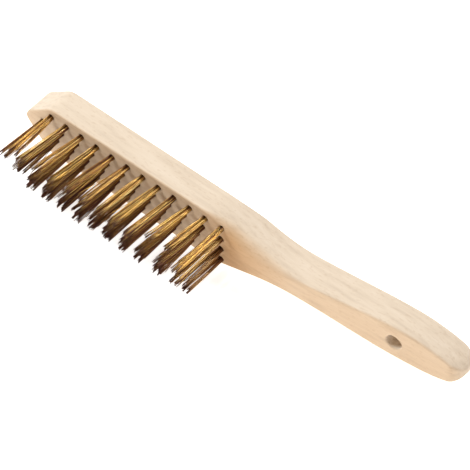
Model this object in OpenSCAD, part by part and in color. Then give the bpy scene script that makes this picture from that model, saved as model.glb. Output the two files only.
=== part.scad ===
// Hand wire brush: a one-piece beech body with four staggered rows of folded wire tufts,
// each held in its blind hole by a flat steel anchor. The brush lies on its side.

/* [Body] */
// Overall length, nose tip to handle end
body_len = 290; // [280:1:320]
// Width of the block that carries the tufts
block_w = 37; // [36:0.5:44]
// Thickness of the block, back to bristle face
block_t = 18; // [16:0.5:22]
// Distance from the nose tip to where the block starts to narrow
shoulder_x = 128; // [126:1:134]
// Radius of the nose tip
nose_r = 6.5; // [3:0.5:8]
// How far the nose tip lies above the middle of the block's width
nose_off = 1.2; // [0:0.1:2]
// Slant of the nose on the upper side, from the length of the brush
nose_upper = 38; // [35:1:50]
// Slant of the nose on the lower side
nose_lower = 47; // [38:1:50]
// Radius where the slanted nose meets the parallel sides
corner_r = 10; // [6:0.5:14]

/* [Handle] */
// Distance from the nose tip to the narrowest part of the neck
neck_x = 182; // [176:1:190]
// Width of the neck at its narrowest
neck_w = 14.2; // [12:0.2:18]
// Thickness of the neck
neck_t = 21; // [18:0.1:23]
// How far the back of the neck lies behind the back of the block
neck_back = 4.6; // [3:0.1:6]
// Distance from the nose tip to the end of the step up at the shoulder's back
step_x = 160; // [152:1:164]
// Height of that step
step_back = 3.7; // [2:0.1:4.5]
// Distance from the nose tip to the widest part of the grip
grip_x = 253; // [245:1:258]
// Width of the grip at its widest
grip_w = 23.8; // [20:0.2:28]
// How full the handle end is on the upper side, as a share of the grip's width
end_upper = 0.25; // [0.15:0.01:0.45]
// How full the handle end is on the lower side
end_lower = 0.4; // [0.15:0.01:0.45]
// Radius of the rounded handle end, seen from the side
end_r = 8.8; // [7.5:0.1:10]
// How far the centre of the handle end lies behind the back of the block
end_back = 1.5; // [0:0.1:4]
// Diameter of the hanging hole
hang_d = 9.6; // [6:0.1:11]
// Distance from the handle end to the hanging hole
hang_from_end = 40.6; // [32:0.2:46]

/* [Tufts] */
// Distance from the nose tip to the first tuft of the rearmost column
first_x = 138.5; // [136:0.5:140]
// Distance between columns, along the brush
column_pitch = 10.9; // [9:0.1:11]
// Distance between rows, across the brush
row_pitch = 8.3; // [7:0.1:8.6]
// Forward shift of each row on the one before it, in a fully slanted column
row_slant = 3.8; // [0:0.1:4.4]
// Diameter of a tuft hole
hole_d = 3.7; // [3:0.1:4.5]
// Depth of a tuft hole below the bristle face
hole_depth = 12; // [8:0.5:13]
// Diameter of each of a tuft's two legs where it leaves the hole
leg_d = 1; // [0.8:0.05:1.4]
// Diameter of a leg at its trimmed end
leg_tip_d = 1.6; // [1:0.1:2.5]
// Distance between the middles of a tuft's two legs at their trimmed ends
leg_spread = 2.8; // [2:0.1:5]
// Lean towards the nose in a fully slanted column, in degrees, in the row on the upper side
lean = 4.5; // [0:0.5:6]
// The same lean in the row on the lower side
lean_low = 1.2; // [0:0.1:6]
// Trimmed wire length outside the block, in the row on the upper side
trim_1 = 36; // [20:1:50]
// Trimmed wire length in the second row
trim_2 = 36.5; // [20:1:50]
// Trimmed wire length in the third row
trim_3 = 33; // [20:1:50]
// Trimmed wire length in the row on the lower side
trim_4 = 30.5; // [20:1:50]
// Extra length of the two upper rows in the rearmost column
rear_extra = 3.5; // [0:0.5:6]
// How much shorter the upper row is worn, in the columns next to the rearmost one
worn = 5; // [0:0.5:8]
// Play between a tuft and its hole, on the radius
tuft_play = 0.05; // [0.02:0.01:0.1]

/* [Anchors] */
// Length of an anchor, across its hole and into the wood on both sides
anchor_len = 5; // [4.6:0.1:5.6]
// Height of an anchor
anchor_h = 2.4; // [1.5:0.1:3]
// Thickness of an anchor
anchor_t = 0.5; // [0.3:0.05:0.8]
// Height of an anchor above the bottom of its hole, where the folded wires pass under it
anchor_lift = 0.8; // [0.4:0.1:1.5]

/* [Hidden] */
half_w = block_w / 2;
trims = [trim_1, trim_2, trim_3, trim_4];
rows = len(trims);

// Where the handle's end arc has its centre, and the hanging hole its axis
end_x = body_len - end_r;
hang_x = body_len - hang_from_end;

// The body's back and bristle sides at the neck, as depths below the block's back face
neck_z0 = -neck_back;
neck_z1 = neck_t - neck_back;

// The middle of the bounding box, as a depth below the block's back face
longest = max(trim_1, trim_2) + rear_extra;
mid_z = (block_t + longest - end_r - end_back) / 2;

// The rearmost column is straight. From there on each step across a row slants more, up to row_slant.
full_columns = 10;
slant_steps = 2;
worn_columns = 2;
function step_slant(column, row) = column == 0 ? 0 : row_slant * min(1, (column + row - 1) / slant_steps);
function row_shift(column, row) = row == 0 ? 0 : row_shift(column, row - 1) + step_slant(column, row);
function grid_x(column, row) = first_x - column * column_pitch - row_shift(column, row);
function full_lean(row) = lean + (lean_low - lean) * row / (rows - 1);
function grid_lean(column, row) = full_lean(row) * min(1, column / slant_steps);
function grid_trim(column, row) = trims[row]
    + (column == 0 && row < 2 ? rear_extra : 0)
    - (row == 0 && column > 0 && column <= worn_columns ? worn : 0);
function row_y(row) = ((rows - 1) / 2 - row) * row_pitch;

// Each tuft is [row, x, lean, trimmed length]. The nose has room for five more, which part a little.
nose_tufts = [
    [0, grid_x(full_columns, 0), full_lean(0), trims[0]],
    [1, grid_x(full_columns, 1), full_lean(1), trims[1]],
    [2, grid_x(full_columns, 2), 1, trims[2] - 3],
    [0, grid_x(full_columns + 1, 0), -1.5, trims[0] - 2],
    [1, 12.3, 2, trims[1] - 4],
];
grid_tufts = [for (column = [0:full_columns - 1]) for (row = [0:rows - 1])
    [row, grid_x(column, row), grid_lean(column, row), grid_trim(column, row)]];
tufts = concat(grid_tufts, nose_tufts);

function tuft_name(i) = str("tuft_", i < 9 ? "0" : "", i + 1);
function anchor_name(row) = str("anchors_row_", row + 1);

wood = [0.95, 0.88, 0.78];
brass = [0.80, 0.64, 0.27];
steel = [0.62, 0.62, 0.63];

// How far a cut runs past the surface it opens, and how thick a block is taken for a half space
past = 1;
big = 60;
fine = 64;

function bezier_point(a, b, c, d, t) =
    pow(1 - t, 3) * a + 3 * pow(1 - t, 2) * t * b + 3 * (1 - t) * t * t * c + pow(t, 3) * d;

// Points of a cubic curve, without its first one
function bezier(a, b, c, d, steps = 12) = [for (i = [1:steps]) bezier_point(a, b, c, d, i / steps)];

// Points of a circular arc
function arc(centre, r, from, to, steps = 8) =
    [for (i = [0:steps]) let (a = from + (to - from) * i / steps) centre + r * [cos(a), sin(a)]];

// Half of the outline seen along the bristles: nose, side, shoulder, neck, grip and end.
// slant is the nose's angle on this side, tip_y how far its tip lies towards this side, and fullness
// that of the handle end.
function half_outline(slant, tip_y, fullness) = let (
    nose_c = [nose_r, tip_y],
    across = [-sin(slant), cos(slant)],
    corner_y = half_w - corner_r,
    corner_x = (across * nose_c + nose_r - corner_r - across.y * corner_y) / across.x,
    corner_c = [corner_x, corner_y],
    shoulder = [shoulder_x, half_w],
    neck = [neck_x, neck_w / 2],
    grip = [grip_x, grip_w / 2],
    end = [body_len, 0]
) concat(
    arc(nose_c, nose_r, 180, 90 + slant, 6),
    arc(corner_c, corner_r, 90 + slant, 90),
    [shoulder],
    bezier(shoulder, shoulder + [12, 0], neck - [22, 0], neck),
    bezier(neck, neck + [25, 0], grip - [25, 0], grip),
    bezier(grip, grip + [56 * fullness, 0], end + [0, grip_w * fullness], end)
);

// The outline seen from the side, with depth measured from the block's back face
function side_outline() = let (
    centre = [end_x, -end_back],
    front_slope = (-end_back + end_r - neck_z1) / (end_x - neck_x),
    neck_back_p = [neck_x, neck_z0],
    neck_front_p = [neck_x, neck_z1],
    back_start = [shoulder_x - 2, 0],
    step_p = [step_x, -step_back],
    front_start = [first_x + 10, block_t]
) concat(
    [[0, block_t], [0, 0], back_start],
    bezier(back_start, back_start + [14, 0], step_p - [14, 0], step_p),
    [neck_back_p],
    arc(centre, end_r, -90, 90, 24),
    [neck_front_p],
    bezier(neck_front_p, neck_front_p - 12 * [1, front_slope], front_start + [12, 0], front_start)
);

// Brush coordinates: x from the nose tip, y across with the upper side positive, and z from
// the block's back face towards the bristle tips. This lays them on their side in the part's frame.
module lay_down() {
    translate([-body_len / 2, mid_z, half_w]) rotate([90, 0, 0]) children();
}

// The solid of the body, where the two outlines cross
module blank() {
    upper = half_outline(nose_upper, nose_off, end_upper);
    lower = half_outline(nose_lower, -nose_off, end_lower);
    lower_back = [for (i = [len(lower) - 2:-1:1]) [lower[i].x, -lower[i].y]];
    intersection() {
        translate([0, 0, -big / 2]) linear_extrude(big + block_t) polygon(concat(upper, lower_back));
        rotate([90, 0, 0]) linear_extrude(block_w + 2 * past, center = true) polygon(side_outline());
    }
}

// Moves its children to a tuft's hole, with z = 0 at the bristle face
module at_tuft(tuft) {
    translate([tuft[1], row_y(tuft[0]), block_t]) children();
}

// The flat plate near the bottom of a hole. It lies across the brush and bites into the wood.
module anchor_plate() {
    translate([-anchor_t / 2, -anchor_len / 2, anchor_lift - hole_depth])
        cube([anchor_t, anchor_len, anchor_h]);
}

module handle() {
    color(wood) lay_down() difference() {
        blank();
        translate([hang_x, 0, -big / 2]) cylinder(h = big + block_t, d = hang_d, $fn = fine);
        for (tuft = tufts) at_tuft(tuft) {
            translate([0, 0, -hole_depth]) cylinder(h = hole_depth + past, d = hole_d, $fn = fine);
            anchor_plate();
        }
    }
}

// A bundle of wires folded over its anchor: one root in the hole, and two legs that lean and part
module tuft_bundle(tuft_lean, trim) {
    leg_x = hole_d / 4;
    splay = atan((leg_spread / 2 - leg_x) / trim);
    difference() {
        union() {
            translate([0, 0, -hole_depth]) cylinder(h = hole_depth, d = hole_d - 2 * tuft_play, $fn = fine);
            intersection() {
                union() for (side = [-1, 1])
                    translate([side * leg_x, 0, 0]) rotate([0, side * splay - tuft_lean, 0])
                        translate([0, 0, -past])
                            cylinder(h = trim + 3 * past, d1 = leg_d, d2 = leg_tip_d, $fn = fine);
                translate([0, 0, trim - big / 2]) cube(big, center = true);
            }
        }
        anchor_plate();
    }
}

module tuft(i) {
    color(brass) lay_down() at_tuft(tufts[i]) tuft_bundle(tufts[i][2], tufts[i][3]);
}

module anchors(row) {
    color(steel) lay_down() for (tuft = tufts) if (tuft[0] == row) at_tuft(tuft) anchor_plate();
}

handle();
for (i = [0:len(tufts) - 1]) tuft(i);
for (row = [0:rows - 1]) anchors(row);
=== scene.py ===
"""A wire brush lying on its side: beech body, folded brass-coated wire tufts, steel anchors."""
import math
import random

import bmesh
import bpy
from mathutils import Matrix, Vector


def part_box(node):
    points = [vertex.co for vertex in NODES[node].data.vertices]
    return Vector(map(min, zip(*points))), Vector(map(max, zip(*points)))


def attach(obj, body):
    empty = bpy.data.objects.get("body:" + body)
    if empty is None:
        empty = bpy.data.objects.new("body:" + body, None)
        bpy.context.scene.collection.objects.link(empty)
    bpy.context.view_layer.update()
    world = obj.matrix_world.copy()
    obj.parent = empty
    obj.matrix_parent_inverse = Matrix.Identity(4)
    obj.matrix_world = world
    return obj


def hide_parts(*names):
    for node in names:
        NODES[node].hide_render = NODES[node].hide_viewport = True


MM = 0.001

# ---------------------------------------------------------------- sizes, in millimetres
# The body's own coordinates are x from the nose tip, y across with the upper side positive,
# and z from the block's back face towards the wire tips.

# The block that carries the tufts: its thickness, and where it starts to narrow
BLOCK_T = 18.0
SHOULDER_X = 128.0
# The nose: the radius of its tip, how far the tip lies above the middle, its slants on the upper and
# lower sides in degrees, and the radius where they meet the sides of the block
NOSE_R = 6.5
NOSE_OFF = 1.2
NOSE_UPPER = 38.0
NOSE_LOWER = 47.0
CORNER_R = 10.0
# The narrowest part of the neck, and how far its back lies behind the back of the block
NECK_X = 182.0
NECK_W = 14.2
NECK_T = 21.0
NECK_BACK = 4.6
# The step in the back at the shoulder: where it starts, where it ends and how high it is
BACK_START_X = SHOULDER_X - 2.0
STEP_X = 160.0
STEP_BACK = 3.7
# Where the front starts to leave the plane of the bristle face
FRONT_START_X = 148.5
# The widest part of the grip
GRIP_X = 253.0
GRIP_W = 23.8
# The handle end: the fullness of its upper and lower corners, its radius seen from the side, and how
# far the centre of that radius lies behind the back of the block
END_UPPER = 0.25
END_LOWER = 0.4
END_R = 8.8
END_BACK = 1.5

# How far the handles of the outlines' curves reach along the brush, before and after each point. The
# one after the grip is for a handle end with a fullness of 1.
SHOULDER_REACH = 12.0
NECK_REACH_BEFORE = 22.0
NECK_REACH_AFTER = 25.0
GRIP_REACH_BEFORE = 25.0
GRIP_REACH_AFTER = 56.0
BACK_REACH = 14.0
FRONT_REACH = 12.0

# Rounding of the long edges at the front and the back, and what the scoop and the grip add to it
EDGE_FRONT = 1.0
EDGE_BACK = 1.2
SCOOP_EDGE_UPPER = 6.0
SCOOP_EDGE_LOWER = 0.5
GRIP_EDGE_FRONT = 0.4
GRIP_EDGE_BACK = 1.3
# Where along the brush these additions come and go
SCOOP_COMES = (124.0, 148.0)
SCOOP_GOES = (158.0, 196.0)
GRIP_FRONT_COMES = (200.0, 250.0)
GRIP_BACK_COMES = (190.0, 250.0)
# The most that a corner may take of the smaller side of the body's section
MOST_ROUNDING = 0.48

# The hanging hole, and the chamfer on both its edges
HANG_D = 9.6
HANG_FROM_END = 40.6
HANG_CHAMFER = 0.5

# The tuft holes, how much and how deep their mouths flare, and the drill's tip with the share of the
# radius that is flat
HOLE_D = 3.7
HOLE_DEPTH = 12.0
MOUTH_FLARE = 0.2
MOUTH_DEPTH = 0.25
DRILL_TIP = 0.8
DRILL_FLAT = 0.2
# How much wider than its hole a cutter starts, on the radius, and how far outside the wood
HOLE_CUTTER_START = (1.2, 1.0)
HANG_CUTTER_START = (1.4, 1.4)

# The wires, each folded double. They are drawn thicker and fewer than the real ones.
WIRE_D = 0.40
WIRES_PER_TUFT = 15
# The distance between packed wires, in wire diameters, and the room left round them in the hole
WIRE_PITCH = 1.06
HOLE_PLAY = 0.1
# Half the gap between a tuft's two legs, where the anchor holds them apart
LEG_GAP = 0.45
# How far the tips of a tuft's legs fan outwards, from the least to the most
LEG_FAN = (0.4, 1.0)
# How wide a leg is at its tip compared with its root, along and across the brush
TIP_WIDTH = (0.9, 1.3)
# Where the points of a leg lie, as shares of its length
LEG_STATIONS = (0.0, 0.16, 0.34, 0.52, 0.7, 0.86, 1.0)
# The fold round the anchor. The heights of its start, its turn and its lowest point count from one
# wire's diameter above the end of the hole. The turn lies at a share of the leg's place, plus a bulge.
FOLD_START = 3.4
FOLD_TURN = 0.7
FOLD_LOWEST = 0.15
FOLD_SHARE = 0.7
FOLD_BULGE = 0.25
# Standard deviations of a tuft's slope, a wire's reach, its tip's place and its bow
SLOPE_SCATTER = 0.012
REACH_SCATTER = 0.8
TIP_SCATTER = (0.30, 0.35)
BOW_SCATTER = 0.28
# How much a tuft may be worn, the share of its legs that is short, and how much shorter they may be
WORN = 1.5
SHORT_SHARE = 0.3
SHORT_LOSS = 6.0
# The share of its legs that stray, the scatter of their tips, and how much lower the tips may end
STRAY_SHARE = 0.07
STRAY_SCATTER = (1.2, 1.5)
STRAY_LOSS = 4.0
# The seed of the first tuft's random numbers
FIRST_SEED = 1000

# Where the painted shade in the scoop beside the tufts begins and ends, in the row frame, in metres
SCOOP_SHADE_SPAN = (-0.022, 0.042)
# The heights across the brush between which a tuft goes from fully darkened to bright: painted shade of the
# lower rows, which lie in the shade of the upper ones
ROW_SHADE_SPAN = (-2.0, 12.0)

# ---------------------------------------------------------------- fineness
# Segments in each stretch of the body's outlines
NOSE_ARC_STEPS = 8
NOSE_STEPS = 10
BLOCK_STEPS = 50
CURVE_STEPS = 28
SIDE_CURVE_STEPS = 20
END_ARC_STEPS = 24
# Segments of the body's section: round a corner, up a side and across a face
CORNER_STEPS = 6
SIDE_STEPS = 4
FACE_STEPS = 6
# Sides of the round holes and of the wires
HOLE_SIDES = 24
HANG_SIDES = 48
WIRE_SIDES = 6
# Edges are sharp above these angles, in degrees
BODY_SHARP = 32
WIRE_SHARP = 70
# How far the first and last rings of the body lie inside its ends, so that neither shrinks to a point
NOSE_GAP = 0.03
END_GAP = 0.02
# Points of a tuft's solid this close to the level of its end belong to the end, in millimetres
END_TOLERANCE = 0.05
# Points this close become one, in metres
MERGE_DISTANCE = 1e-7

# ---------------------------------------------------------------- frame
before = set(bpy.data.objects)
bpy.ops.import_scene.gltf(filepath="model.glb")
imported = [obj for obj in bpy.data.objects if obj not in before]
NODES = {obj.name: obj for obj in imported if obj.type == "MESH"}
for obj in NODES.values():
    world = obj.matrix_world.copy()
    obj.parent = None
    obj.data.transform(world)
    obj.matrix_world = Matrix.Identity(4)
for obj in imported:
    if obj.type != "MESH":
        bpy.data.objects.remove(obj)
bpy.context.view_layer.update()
TUFTS = sorted(n for n in NODES if n.startswith("tuft_"))
ANCHORS = sorted(n for n in NODES if n.startswith("anchors_"))

handle_lo, handle_hi = (Vector(c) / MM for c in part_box("handle"))
BODY_LEN = handle_hi.x - handle_lo.x
HALF_W = (handle_hi.z - handle_lo.z) / 2
# The block's back face lies END_BACK + END_R below the highest back line of the handle end.
BACK_Y = handle_hi.y - END_R - END_BACK


def to_row(x, y, z):
    """A point of the body's own coordinates, in the row frame, in metres."""
    return Vector((handle_lo.x + x, BACK_Y - z, HALF_W + y)) * MM


# ---------------------------------------------------------------- outlines
def bezier(a, b, c, d, steps):
    """Points of a cubic curve in the plane, without its first one."""
    out = []
    for i in range(1, steps + 1):
        t = i / steps
        weights = ((1 - t) ** 3, 3 * (1 - t) ** 2 * t, 3 * (1 - t) * t * t, t ** 3)
        out.append(tuple(sum(w * p[k] for w, p in zip(weights, (a, b, c, d))) for k in (0, 1)))
    return out


def arc(centre, r, start, end, steps):
    """Points of a circular arc, angles in degrees."""
    angles = [math.radians(start + (end - start) * i / steps) for i in range(steps + 1)]
    return [(centre[0] + r * math.cos(a), centre[1] + r * math.sin(a)) for a in angles]


def line(a, b, steps):
    """Points from a to b, without the first one."""
    return [(a[0] + (b[0] - a[0]) * i / steps, a[1] + (b[1] - a[1]) * i / steps)
            for i in range(1, steps + 1)]


def moved(point, reach):
    """A point moved along the brush."""
    return point[0] + reach, point[1]


def half_outline(slant, tip_y, fullness):
    """(x, y) from the nose tip to the handle end, on one side of the middle. slant is the nose's angle
    on this side, tip_y how far its tip lies towards this side, and fullness that of the handle end."""
    across = (-math.sin(math.radians(slant)), math.cos(math.radians(slant)))
    corner_y = HALF_W - CORNER_R
    along = across[0] * NOSE_R + across[1] * tip_y + NOSE_R - CORNER_R - across[1] * corner_y
    corner = (along / across[0], corner_y)
    nose = arc((NOSE_R, tip_y), NOSE_R, 180, 90 + slant, NOSE_ARC_STEPS)
    turn = arc(corner, CORNER_R, 90 + slant, 90, NOSE_ARC_STEPS)
    shoulder, neck, grip = (SHOULDER_X, HALF_W), (NECK_X, NECK_W / 2), (GRIP_X, GRIP_W / 2)
    end, end_corner = (BODY_LEN, 0), (BODY_LEN, GRIP_W * fullness)
    points = nose + line(nose[-1], turn[0], NOSE_STEPS) + turn[1:] + line(turn[-1], shoulder, BLOCK_STEPS)
    curves = (
        (shoulder, moved(shoulder, SHOULDER_REACH), moved(neck, -NECK_REACH_BEFORE), neck),
        (neck, moved(neck, NECK_REACH_AFTER), moved(grip, -GRIP_REACH_BEFORE), grip),
        (grip, moved(grip, GRIP_REACH_AFTER * fullness), end_corner, end),
    )
    for curve in curves:
        points += bezier(*curve, CURVE_STEPS)
    return points


def interpolate(points, x):
    """The height of a polyline at x."""
    for (x0, y0), (x1, y1) in zip(points, points[1:]):
        if x <= x1:
            return y0 + (y1 - y0) * (x - x0) / max(x1 - x0, 1e-9)
    return points[-1][1]


def side_lines():
    """The body's back and front lines, seen from the side."""
    end = (BODY_LEN - END_R, -END_BACK)
    neck_back, neck_front = (NECK_X, -NECK_BACK), (NECK_X, NECK_T - NECK_BACK)
    front_slope = (end[1] + END_R - neck_front[1]) / (end[0] - NECK_X)
    back_start, front_start = (BACK_START_X, 0), (FRONT_START_X, BLOCK_T)
    step = (STEP_X, -STEP_BACK)
    before_step = moved(step, -BACK_REACH)
    before_neck = (NECK_X - FRONT_REACH, neck_front[1] - FRONT_REACH * front_slope)
    back = [(0, 0), back_start]
    back += bezier(back_start, moved(back_start, BACK_REACH), before_step, step, SIDE_CURVE_STEPS)
    back += [neck_back] + arc(end, END_R, -90, 0, END_ARC_STEPS)
    front = [(0, BLOCK_T), front_start]
    front += bezier(front_start, moved(front_start, FRONT_REACH), before_neck, neck_front, SIDE_CURVE_STEPS)
    front += arc(end, END_R, 90, 0, END_ARC_STEPS)
    return back, front


BACK_LINE, FRONT_LINE = side_lines()


def smooth(a, b, x):
    """0 below a, 1 above b, and an ease between them."""
    t = min(max((x - a) / (b - a), 0), 1)
    return t * t * (3 - 2 * t)


def edge_radius(x, y_sign, z_sign):
    """The rounding of the long edges: crisp on the block, scooped at the front of the shoulder, and
    soft along the back of the grip."""
    if z_sign > 0:
        scoop = smooth(*SCOOP_COMES, x) * (1 - smooth(*SCOOP_GOES, x))
        scoop_edge = SCOOP_EDGE_UPPER if y_sign > 0 else SCOOP_EDGE_LOWER
        return EDGE_FRONT + scoop_edge * scoop + GRIP_EDGE_FRONT * smooth(*GRIP_FRONT_COMES, x)
    return EDGE_BACK + GRIP_EDGE_BACK * smooth(*GRIP_BACK_COMES, x)


# ---------------------------------------------------------------- mesh helpers
def new_object(name, data):
    """Links a new object for a mesh, a lamp or a camera into the scene."""
    obj = bpy.data.objects.new(name, data)
    bpy.context.scene.collection.objects.link(obj)
    return obj


def mesh_from(name, verts, faces):
    """A mesh with its double points merged and its normals made consistent."""
    mesh = bpy.data.meshes.new(name)
    mesh.from_pydata(verts, [], faces)
    bm = bmesh.new()
    bm.from_mesh(mesh)
    bmesh.ops.remove_doubles(bm, verts=bm.verts, dist=MERGE_DISTANCE)
    bmesh.ops.recalc_face_normals(bm, faces=bm.faces)
    bm.to_mesh(mesh)
    bm.free()
    return mesh


def loft(rings):
    """Vertices and faces of a skin over rings of equal length, closed at both ends."""
    n = len(rings[0])
    verts = [p for ring in rings for p in ring]
    faces = [(i * n + j, i * n + (j + 1) % n, (i + 1) * n + (j + 1) % n, (i + 1) * n + j)
             for i in range(len(rings) - 1) for j in range(n)]
    faces.append(tuple(range(n)))
    faces.append(tuple(range((len(rings) - 1) * n, len(rings) * n)))
    return verts, faces


def joined(parts):
    """Vertices and faces of several parts as those of one."""
    verts, faces = [], []
    for part_verts, part_faces in parts:
        offset = len(verts)
        verts += part_verts
        faces += [tuple(i + offset for i in face) for face in part_faces]
    return verts, faces


def apply_modifiers(obj):
    """Replaces an object's mesh with its evaluated one."""
    depsgraph = bpy.context.evaluated_depsgraph_get()
    mesh = bpy.data.meshes.new_from_object(obj.evaluated_get(depsgraph))
    obj.modifiers.clear()
    obj.data = mesh


def shade(mesh, angle):
    """Smooth faces, with sharp edges above an angle in degrees."""
    mesh.shade_smooth()
    mesh.set_sharp_from_angle(angle=math.radians(angle))


# ---------------------------------------------------------------- body
def section(x, upper, lower):
    """The body's rounded rectangle at x, as (y, z) points."""
    back, front = interpolate(BACK_LINE, x), interpolate(FRONT_LINE, x)
    limit = MOST_ROUNDING * min(upper - lower, front - back)
    points = []
    for start, y_sign, z_sign in ((0, 1, 1), (90, -1, 1), (180, -1, -1), (270, 1, -1)):
        r = min(edge_radius(x, y_sign, z_sign), limit)
        centre = (upper - r if y_sign > 0 else lower + r, front - r if z_sign > 0 else back + r)
        corner = arc(centre, r, start, start + 90, CORNER_STEPS)
        steps = SIDE_STEPS if start in (0, 180) else FACE_STEPS
        if points:
            points += line(points[-1], corner[0], steps)[:-1]
        points += corner
    points += line(points[-1], points[0], SIDE_STEPS)[:-1]
    return points


def body_blank():
    """The body before drilling."""
    upper = half_outline(NOSE_UPPER, NOSE_OFF, END_UPPER)
    lower = half_outline(NOSE_LOWER, -NOSE_OFF, END_LOWER)
    stations = {round(p[0], 3) for p in upper[1:-1] + lower[-CURVE_STEPS:-1]}
    rings = []
    for x in sorted(stations | {NOSE_GAP, BODY_LEN - END_GAP}):
        top, bottom = interpolate(upper, x), -interpolate(lower, x)
        rings.append([to_row(x, y, z) for y, z in section(x, top, bottom)])
    return mesh_from("blank", *loft(rings))


def cutter(profile, place, sides):
    """A round cutter. profile is (radius, depth) pairs, and place gives the point for an angle, a radius
    and a depth."""
    rings = [[place(2 * math.pi * i / sides, r, depth) for i in range(sides)] for r, depth in profile]
    return loft(rings)


def hole_cutter(name):
    """The cutter of a tuft's hole: a flared mouth, a straight wall and the drill's tip."""
    x, y = tuft_place(name)
    r = HOLE_D / 2
    wider, outside = HOLE_CUTTER_START
    profile = [(r + wider, -outside), (r + MOUTH_FLARE, 0.0), (r, MOUTH_DEPTH),
               (r, HOLE_DEPTH - DRILL_TIP), (r * DRILL_FLAT, HOLE_DEPTH)]

    def place(angle, radius, depth):
        return to_row(x + radius * math.cos(angle), y + radius * math.sin(angle), BLOCK_T - depth)

    return cutter(profile, place, HOLE_SIDES)


def hang_cutter():
    """The cutter of the hanging hole, which follows the front and back faces with its chamfers."""
    hang_x, r = BODY_LEN - HANG_FROM_END, HANG_D / 2
    wider, outside = HANG_CUTTER_START
    chamfer = [(r + wider, -outside), (r + HANG_CHAMFER, 0.0), (r, HANG_CHAMFER)]
    profile = [(radius, ("front", depth)) for radius, depth in chamfer]
    profile += [(radius, ("back", depth)) for radius, depth in reversed(chamfer)]

    def place(angle, radius, face_depth):
        face, depth = face_depth
        x, y = hang_x + radius * math.cos(angle), radius * math.sin(angle)
        z = interpolate(FRONT_LINE, x) - depth if face == "front" else interpolate(BACK_LINE, x) + depth
        return to_row(x, y, z)

    return cutter(profile, place, HANG_SIDES)


def tuft_end(name, at_tip):
    """(x, y, z) of the middle of a tuft's trimmed end, or of its end in the hole."""
    lo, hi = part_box(name)
    level = lo[1] if at_tip else hi[1]
    disc = [v.co for v in NODES[name].data.vertices if abs(v.co.y - level) < END_TOLERANCE * MM]
    xs, zs = [p.x / MM for p in disc], [p.z / MM for p in disc]
    x, z = (min(xs) + max(xs)) / 2, (min(zs) + max(zs)) / 2
    return x - handle_lo.x, z - HALF_W, BACK_Y - level / MM


def tuft_place(name):
    """(x, y) of a tuft's hole."""
    return tuft_end(name, False)[:2]


def make_body():
    """Makes the drilled beech body."""
    blank = new_object("beech_body", body_blank())
    cutters = [hole_cutter(name) for name in TUFTS] + [hang_cutter()]
    drills = new_object("drills", mesh_from("cutters", *joined(cutters)))
    boolean = blank.modifiers.new("drill", "BOOLEAN")
    boolean.operation = "DIFFERENCE"
    boolean.solver = "EXACT"
    boolean.object = drills
    apply_modifiers(blank)
    bpy.data.objects.remove(drills)
    shade(blank.data, BODY_SHARP)
    blank.data.materials.clear()
    blank.data.materials.append(beech_material())
    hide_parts("handle")
    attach(blank, "root")


# ---------------------------------------------------------------- wires
def hex_points(spacing, radius):
    """Centres of wires packed in a disc."""
    points = []
    rows = int(radius / spacing) + 2
    for j in range(-rows, rows + 1):
        for i in range(-rows, rows + 1):
            p = Vector(((i + 0.5 * (j % 2)) * spacing, j * spacing * math.sqrt(3) / 2))
            if p.length <= radius:
                points.append(p)
    return points


def tube(points, radius, sides):
    """Rings of a round tube along a path, with its ends cut square."""
    rings = []
    side = Vector((0, 0, 1))
    for i, p in enumerate(points):
        before, after = points[max(i - 1, 0)], points[min(i + 1, len(points) - 1)]
        along = (after - before).normalized()
        u = (side - along * side.dot(along)).normalized()
        v = along.cross(u)
        rings.append([p + radius * (math.cos(a) * u + math.sin(a) * v)
                      for a in (2 * math.pi * k / sides for k in range(sides))])
    return rings


def leg(rng, root, reach, slope, fan):
    """One leg of a folded wire, from the bristle face to its cut end, in tuft coordinates: x along the
    brush, y across, z out of the wood from the bristle face."""
    side = 1 if root.x > 0 else -1
    tip = Vector((slope * reach + side * fan + root.x * TIP_WIDTH[0] + rng.gauss(0, TIP_SCATTER[0]),
                  root.y * TIP_WIDTH[1] + rng.gauss(0, TIP_SCATTER[1]), reach))
    bow = Vector((rng.gauss(0, BOW_SCATTER), rng.gauss(0, BOW_SCATTER), 0))
    if rng.random() < STRAY_SHARE:
        scatter_x, scatter_y = STRAY_SCATTER
        tip += Vector((rng.gauss(0, scatter_x), rng.gauss(0, scatter_y), -rng.uniform(0, STRAY_LOSS)))
    start = Vector((root.x, root.y, 0))
    return [start.lerp(tip, t) + bow * math.sin(math.pi * t) for t in LEG_STATIONS]


def fold(a, b):
    """The middle of a folded wire, down from the leg at a, round the anchor and up to the leg at b."""
    bottom = -(HOLE_DEPTH - WIRE_D)
    points = [Vector((a.x, a.y, bottom + FOLD_START))]
    points.append(Vector((a.x * FOLD_SHARE - FOLD_BULGE, a.y, bottom + FOLD_TURN)))
    points.append(Vector((0, (a.y + b.y) / 2, bottom + FOLD_LOWEST)))
    points.append(Vector((b.x * FOLD_SHARE + FOLD_BULGE, b.y, bottom + FOLD_TURN)))
    points.append(Vector((b.x, b.y, bottom + FOLD_START)))
    return points


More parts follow.
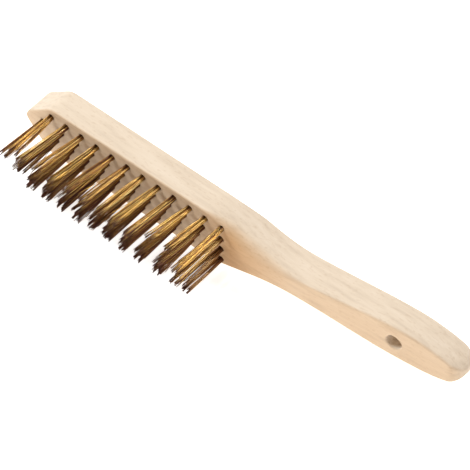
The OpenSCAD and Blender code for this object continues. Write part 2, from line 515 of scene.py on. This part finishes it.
def tuft_paths(name, rng):
    """The centre lines of a tuft's folded wires, in tuft coordinates."""
    root_x = tuft_end(name, False)[0]
    tip_x, _, tip_z = tuft_end(name, True)
    trim = tip_z - BLOCK_T
    slope = (tip_x - root_x) / trim + rng.gauss(0, SLOPE_SCATTER)
    packed = hex_points(WIRE_D * WIRE_PITCH, HOLE_D / 2 - HOLE_PLAY - WIRE_D / 2)
    left = sorted((p for p in packed if p.x < -LEG_GAP), key=lambda p: rng.random())[:WIRES_PER_TUFT]
    right = sorted((p for p in packed if p.x > LEG_GAP), key=lambda p: rng.random())[:WIRES_PER_TUFT]
    fan = rng.uniform(*LEG_FAN)
    worn = rng.uniform(0, WORN)
    paths = []
    for a, b in zip(left, right):
        ends = []
        for root in (a, b):
            reach = trim - worn - abs(rng.gauss(0, REACH_SCATTER))
            if rng.random() < SHORT_SHARE:
                reach -= rng.uniform(0, SHORT_LOSS)
            ends.append(leg(rng, root, reach, slope, fan))
        paths.append(list(reversed(ends[0])) + fold(a, b) + ends[1])
    return paths


def make_tuft(name, index, material):
    """Makes all the wires of a tuft, in one mesh. Values per point drive its colour: a tone for each wire, a
    mark at the cut ends, how far along the free length the point lies, and a painted shade for each row,
    which darkens the lower rows."""
    rng = random.Random(FIRST_SEED + index)
    x, y = tuft_place(name)
    trim = tuft_end(name, True)[2] - BLOCK_T
    row_shade = 1 - smooth(*ROW_SHADE_SPAN, y)
    values = {"tone": [], "cut": [], "along": [], "row_shade": []}
    parts = []
    for path in tuft_paths(name, rng):
        tone = rng.random()
        centres = [to_row(x + p.x, y + p.y, BLOCK_T + p.z) for p in path]
        parts.append(loft(tube(centres, WIRE_D / 2 * MM, WIRE_SIDES)))
        for i, p in enumerate(path):
            values["tone"] += [tone] * WIRE_SIDES
            values["cut"] += [float(i in (0, len(path) - 1))] * WIRE_SIDES
            values["along"] += [max(p.z, 0) / trim] * WIRE_SIDES
            values["row_shade"] += [row_shade] * WIRE_SIDES
    verts, faces = joined(parts)
    mesh = bpy.data.meshes.new(name + "_wires")
    mesh.from_pydata(verts, [], faces)
    for label, numbers in values.items():
        attribute = mesh.attributes.new(label, "FLOAT", "POINT")
        attribute.data.foreach_set("value", numbers)
    shade(mesh, WIRE_SHARP)
    obj = new_object(name + "_wires", mesh)
    mesh.materials.append(material)
    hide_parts(name)
    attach(obj, "root")


# ---------------------------------------------------------------- materials
BLACK = (0.0, 0.0, 0.0)
WHITE = (1.0, 1.0, 1.0)


class Nodes:
    """A short way to write a material's node tree."""

    def __init__(self, name):
        self.material = bpy.data.materials.new(name)
        self.material.use_nodes = True
        self.tree = self.material.node_tree
        self.shader = self.tree.nodes["Principled BSDF"]

    def feed(self, socket, value):
        """Links an output to a socket, or sets the socket's own value."""
        if isinstance(value, bpy.types.NodeSocket):
            self.tree.links.new(value, socket)
        else:
            socket.default_value = value

    def add(self, kind, values=None, **settings):
        """A new node with its settings, and with its inputs fed by name."""
        node = self.tree.nodes.new("ShaderNode" + kind)
        for key, value in settings.items():
            setattr(node, key, value)
        for key, value in (values or {}).items():
            self.feed(node.inputs[key], value)
        return node

    def set(self, **values):
        """Feeds inputs of the shader, whose names are written with underscores."""
        for key, value in values.items():
            self.feed(self.shader.inputs[key.replace("_", " ")], value)

    def attribute(self, name):
        """A value stored for each point of the mesh."""
        return self.add("Attribute", attribute_name=name).outputs["Fac"]

    def axis(self, vector, axis):
        """One coordinate of a vector."""
        return self.add("SeparateXYZ", {"Vector": vector}).outputs[axis]

    def noise(self, scale, frequency, detail=3.0, rough=0.5, rotation=(0, 0, 0)):
        """Noise in the object's own coordinates, stretched by a scale for each axis."""
        source = self.add("TexCoord").outputs["Object"]
        mapping = self.add("Mapping", {"Vector": source, "Scale": scale, "Rotation": rotation})
        vector = mapping.outputs["Vector"]
        values = {"Vector": vector, "Scale": frequency, "Detail": detail, "Roughness": rough}
        return self.add("TexNoise", values).outputs["Fac"]

    def ramp(self, fac, *stops):
        """Colours at (position, colour) stops."""
        node = self.add("ValToRGB", {"Fac": fac})
        ramp = node.color_ramp
        while len(ramp.elements) < len(stops):
            ramp.elements.new(0.5)
        for element, (position, colour) in zip(ramp.elements, stops):
            element.position = position
            element.color = (*colour, 1)
        return node.outputs["Color"]

    def greys(self, fac, *stops):
        """Plain values at (position, value) stops."""
        return self.ramp(fac, *((position, (value, value, value)) for position, value in stops))

    def mask(self, fac, low, high):
        """0 up to low, 1 from high, and a slope between them."""
        return self.ramp(fac, (low, BLACK), (high, WHITE))

    def mix(self, fac, a, b, blend="MIX"):
        """Colour b over colour a."""
        node = self.add("Mix", data_type="RGBA", blend_type=blend)
        for key, value in (("Factor", fac), ("A", a), ("B", b)):
            socket = next(s for s in node.inputs if s.name == key and s.enabled)
            self.feed(socket, (*value, 1) if isinstance(value, tuple) else value)
        return next(s for s in node.outputs if s.enabled)

    def math(self, operation, a, b):
        """The result of an operation on two values."""
        return self.add("Math", {0: a, 1: b}, operation=operation).outputs[0]


def beech_material():
    """Raw sanded beech: broad bands along the length, short ray flecks, pores and a matt surface."""
    n = Nodes("beech")
    bands = n.noise((6, 60, 60), 6.0, 4.0, 0.55)
    base = n.ramp(bands, (0.30, (0.65, 0.535, 0.42)), (0.50, (0.72, 0.60, 0.475)),
                  (0.72, (0.76, 0.645, 0.525)))
    flecks = n.noise((330, 900, 900), 1.0, 1.0, 0.4, (0, 0.35, 0))
    fleck_mask = n.mask(flecks, 0.60, 0.70)
    base = n.mix(n.math("MULTIPLY", fleck_mask, 0.22), base, (0.50, 0.35, 0.22))
    pores = n.noise((700, 3500, 3500), 1.0, 2.0, 0.6)
    pore_mask = n.mask(pores, 0.58, 0.75)
    base = n.mix(n.math("MULTIPLY", pore_mask, 0.15), base, (0.58, 0.42, 0.28))
    # Painted shade: faces that turn towards the bristle side are made darker and redder than the sides,
    # standing in for the warm shade on that side.
    facing = n.axis(n.add("NewGeometry").outputs["Normal"], "Y")
    bristle_side_shade = n.math("MAXIMUM", n.math("MULTIPLY", facing, -1.0), 0.0)
    base = n.mix(bristle_side_shade, base, (0.97, 0.86, 0.73), "MULTIPLY")
    # Painted shade: the scoop beside the tufts is made browner on its bristle side, standing in for the
    # shade that the tufts cast there.
    along = n.axis(n.add("TexCoord").outputs["Object"], "X")
    scoop = n.add("MapRange", {"Value": along, "From Min": SCOOP_SHADE_SPAN[0], "From Max": SCOOP_SHADE_SPAN[1]})
    scoop_shade = n.ramp(scoop.outputs["Result"], (0.0, BLACK), (0.35, WHITE), (1.0, BLACK))
    base = n.mix(n.math("MULTIPLY", scoop_shade, bristle_side_shade), base, (0.88, 0.72, 0.54), "MULTIPLY")
    height = n.math("ADD", n.math("MULTIPLY", flecks, 0.5), pores)
    bump = n.add("Bump", {"Height": height, "Strength": 0.16, "Distance": 0.0002})
    rough = n.greys(pores, (0.3, 0.55), (0.8, 0.75))
    n.set(Base_Color=base, Roughness=rough, Normal=bump.outputs["Normal"])
    n.set(IOR=1.45, Specular_IOR_Level=0.3)
    return n.material


def wire_material():
    """Brass-coated steel wire: gold with brown and near-black wires among it, dark at the roots and
    at the cut ends."""
    n = Nodes("brass_coated_wire")
    tone, cut, along = n.attribute("tone"), n.attribute("cut"), n.attribute("along")
    base = n.ramp(tone, (0.0, (0.08, 0.04, 0.03)), (0.18, (0.30, 0.14, 0.06)), (0.34, (0.68, 0.39, 0.12)),
                  (0.62, (0.88, 0.56, 0.16)), (1.0, (1.0, 0.73, 0.28)))
    stains = n.noise((500, 160, 500), 1.0, 3.0, 0.6)
    stain_mask = n.mask(stains, 0.48, 0.72)
    base = n.mix(n.math("MULTIPLY", stain_mask, 0.5), base, (0.21, 0.10, 0.07))
    # Painted shade: the lower rows are darkened, standing in for the shade that the upper rows cast on them.
    row_shade = n.attribute("row_shade")
    base = n.mix(n.math("MULTIPLY", row_shade, 0.70), base, (0.15, 0.065, 0.06))
    # Darker at the roots and the tips: partly dirt, and partly painted shade standing in for the shade in
    # the holes and on the shaded tips.
    grime_and_shade = n.greys(along, (0.0, 0.6), (0.08, 0.2), (0.16, 0.0), (0.80, 0.0), (0.98, 0.7))
    base = n.mix(grime_and_shade, base, (0.10, 0.045, 0.045))
    base = n.mix(n.math("MULTIPLY", cut, 0.7), base, (0.09, 0.05, 0.05))
    rough = n.greys(stains, (0.3, 0.30), (0.8, 0.52))
    bump = n.add("Bump", {"Height": n.noise((3000, 300, 3000), 1.0), "Strength": 0.15, "Distance": 0.00005})
    n.set(Base_Color=base, Metallic=1.0, Roughness=rough, Normal=bump.outputs["Normal"])
    n.set(Specular_Tint=(0.55, 0.36, 0.25, 1))
    return n.material


def anchor_material():
    """Rolled steel strip with faint scratches."""
    n = Nodes("anchor_steel")
    grain = n.noise((200, 200, 4000), 1.0, 3.0)
    base = n.ramp(grain, (0.3, (0.42, 0.42, 0.43)), (0.7, (0.60, 0.60, 0.61)))
    rough = n.greys(grain, (0.3, 0.35), (0.7, 0.5))
    bump = n.add("Bump", {"Height": grain, "Strength": 0.1, "Distance": 0.00005})
    n.set(Base_Color=base, Metallic=1.0, Roughness=rough, Normal=bump.outputs["Normal"])
    return n.material


def floor_material():
    """Plain white paper, with a glow that keeps it pale."""
    n = Nodes("paper")
    grain = n.noise((300, 300, 300), 1.0, 2.0)
    base = n.greys(grain, (0.3, 0.90), (0.7, 0.93))
    n.set(Base_Color=base, Roughness=0.9, Emission_Color=(1, 1, 1, 1), Emission_Strength=0.75)
    return n.material


# ---------------------------------------------------------------- stage
# The camera's direction, distance and target in metres, its lens and sensor in millimetres, and how
# far it sees in metres
VIEW_AZIMUTH = math.radians(40.41)
VIEW_ELEVATION = math.radians(50.65)
VIEW_DISTANCE = 2.1191
VIEW_TARGET = Vector((-0.0047, 0.0153, 0.0185))
LENS = 307.1
SENSOR_WIDTH = 36
VIEW_LIMIT = 20

# Each lamp's name, place, target, diameter, power and colour
LAMPS = (
    ("key", (-1.15, -0.5, 1.5), (-0.03, 0, 0), 0.55, 27, (0.91, 0.97, 1.0)),
    ("top", (0.5, 1.0, 1.7), (0, 0, 0), 0.7, 20, (0.94, 0.98, 1.0)),
)
WORLD_COLOUR = (1.0, 0.84, 0.68, 1)
WORLD_STRENGTH = 0.36

# Half the floor's side, and how far it lies under the brush, in metres
FLOOR_HALF = 4
FLOOR_DROP = 0.0002


def aim(obj, target):
    """Turns a lamp or camera to look at a point, with no roll."""
    direction = target - obj.location
    obj.rotation_euler = direction.to_track_quat("-Z", "Y").to_euler()


def make_camera():
    """A long lens, looking down on the brush from the bristle side."""
    camera = new_object("camera", bpy.data.cameras.new("camera"))
    camera.data.lens = LENS
    camera.data.sensor_width = SENSOR_WIDTH
    camera.data.clip_end = VIEW_LIMIT
    flat = math.cos(VIEW_ELEVATION)
    ahead_x, ahead_y = -math.sin(VIEW_AZIMUTH) * flat, math.cos(VIEW_AZIMUTH) * flat
    forward = Vector((ahead_x, ahead_y, -math.sin(VIEW_ELEVATION)))
    camera.location = VIEW_TARGET - forward * VIEW_DISTANCE
    aim(camera, VIEW_TARGET)
    bpy.context.scene.camera = camera


def area_light(name, location, target, size, power, colour):
    """A round lamp that faces a point."""
    data = bpy.data.lights.new(name, "AREA")
    data.shape = "DISK"
    data.size = size
    data.energy = power
    data.color = colour
    lamp = new_object(name, data)
    lamp.location = location
    aim(lamp, Vector(target))


def make_stage():
    """The paper floor, the even warm light of the room and the lamps."""
    h = FLOOR_HALF
    floor = mesh_from("floor", [(-h, -h, 0), (h, -h, 0), (h, h, 0), (-h, h, 0)], [(0, 1, 2, 3)])
    floor.materials.append(floor_material())
    sheet = new_object("floor", floor)
    sheet.location.z = -FLOOR_DROP
    world = bpy.data.worlds.new("studio")
    bpy.context.scene.world = world
    world.use_nodes = True
    background = world.node_tree.nodes["Background"]
    background.inputs["Color"].default_value = WORLD_COLOUR
    background.inputs["Strength"].default_value = WORLD_STRENGTH
    for lamp in LAMPS:
        area_light(*lamp)
    bpy.context.scene.view_settings.view_transform = "Standard"


# ---------------------------------------------------------------- build
make_camera()
make_stage()
make_body()
wires = wire_material()
for number, tuft_name in enumerate(TUFTS):
    make_tuft(tuft_name, number, wires)
# The anchors keep their own solids, and only get their material.
steel = anchor_material()
for anchor_name in ANCHORS:
    anchor = NODES[anchor_name]
    anchor.data.materials.clear()
    anchor.data.materials.append(steel)
